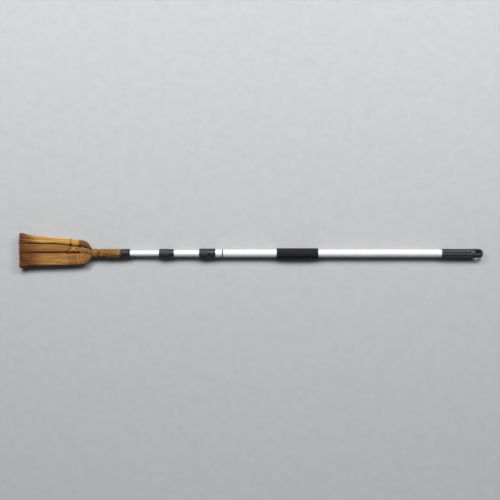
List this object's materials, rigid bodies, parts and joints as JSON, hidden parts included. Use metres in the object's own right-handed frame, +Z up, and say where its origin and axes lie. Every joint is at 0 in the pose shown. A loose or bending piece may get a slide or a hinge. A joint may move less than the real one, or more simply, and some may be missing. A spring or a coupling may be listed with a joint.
{
  "type": "telescopic snow broom",
  "caption": "Long-handled broom with a stitched palm-fibre head on a telescopic aluminium pole with twist locks, foam hand grip, ribbed end grip and hanging eye.",
  "frame": {"origin": "centre of the bounding box's underside, on the surface the broom lies on", "axes": "+X along the pole from the bristle tips to the hanging eye, +Y across the flat head, +Z up off the surface"},
  "size_m": [1.508, 0.12, 0.0334],
  "materials": {
    "tube": "satin anodised",
    "foam": "closed-cell foam, matt",
    "grip": "matt",
    "black_plastic": "fine moulded texture",
    "bush_plastic": "natural nylon",
    "rubber": "matt",
    "steel": "ground pin",
    "palm_gold": "golden palm fibre",
    "palm_brown": "brown palm fibre",
    "palm_tan": "tan palm fibre",
    "neck_cord": "wound fibre cord",
    "binding": "dark binding cord",
    "stitch": "twisted cord",
    "stick_wood": "bare wood"
  },
  "bodies": {
    "outer_section": {"outer_tube": "tube", "foam_grip": "foam", "end_grip": "grip", "hang_cap": "black_plastic", "lock_base_outer": "black_plastic"},
    "outer_lock_nut": {"lock_nut_outer": "black_plastic"},
    "middle_section": {"middle_tube": "tube", "middle_tail_bush": "bush_plastic", "lock_base_middle": "black_plastic"},
    "middle_lock_nut": {"lock_nut_middle": "black_plastic"},
    "inner_section": {"inner_tube": "tube", "inner_tail_bush": "bush_plastic", "tip_adapter": "black_plastic", "tip_pin": "steel"},
    "thread_washer": {"neck_washer": "rubber"},
    "broom_head": {"head_stick": "stick_wood", "neck_fibre": "palm_brown", "neck_wrap_1": "neck_cord", "neck_wrap_2": "neck_cord", "neck_wrap_3": "neck_cord", "neck_wrap_4": "neck_cord", "neck_ring": "binding", "upper_bundle": "palm_gold", "middle_bundle": "palm_brown", "lower_bundle": "palm_tan", "stitch_row_1": "stitch", "stitch_row_2": "stitch"}
  },
  "joints": [
    {"name": "middle_slide", "type": "slide", "parent": "outer_section", "child": "middle_section", "axis": [-1, 0, 0], "range_m": [0, 0.8]},
    {"name": "inner_slide", "type": "slide", "parent": "middle_section", "child": "inner_section", "axis": [-1, 0, 0], "range_m": [0, 0.88]},
    {"name": "outer_lock_twist", "type": "hinge", "parent": "outer_section", "child": "outer_lock_nut", "pos_m": [-0.152, -0.00845, 0.0167], "axis": [-1, 0, 0], "range_deg": [0, 120]},
    {"name": "middle_lock_twist", "type": "hinge", "parent": "middle_section", "child": "middle_lock_nut", "pos_m": [-0.28, -0.00845, 0.0167], "axis": [-1, 0, 0], "range_deg": [0, 120]},
    {"name": "head_advance", "type": "slide", "parent": "inner_section", "child": "thread_washer", "axis": [-1, 0, 0], "range_m": [0, 0.0351]},
    {"name": "head_unscrew", "type": "hinge", "parent": "thread_washer", "child": "broom_head", "pos_m": [-0.434, -0.00845, 0.0167], "axis": [-1, 0, 0], "range_deg": [0, 2520]}
  ],
  "couplings": [
    {"joint": "head_advance", "follows": "head_unscrew", "m_per_rad": 0.00079577}
  ]
}
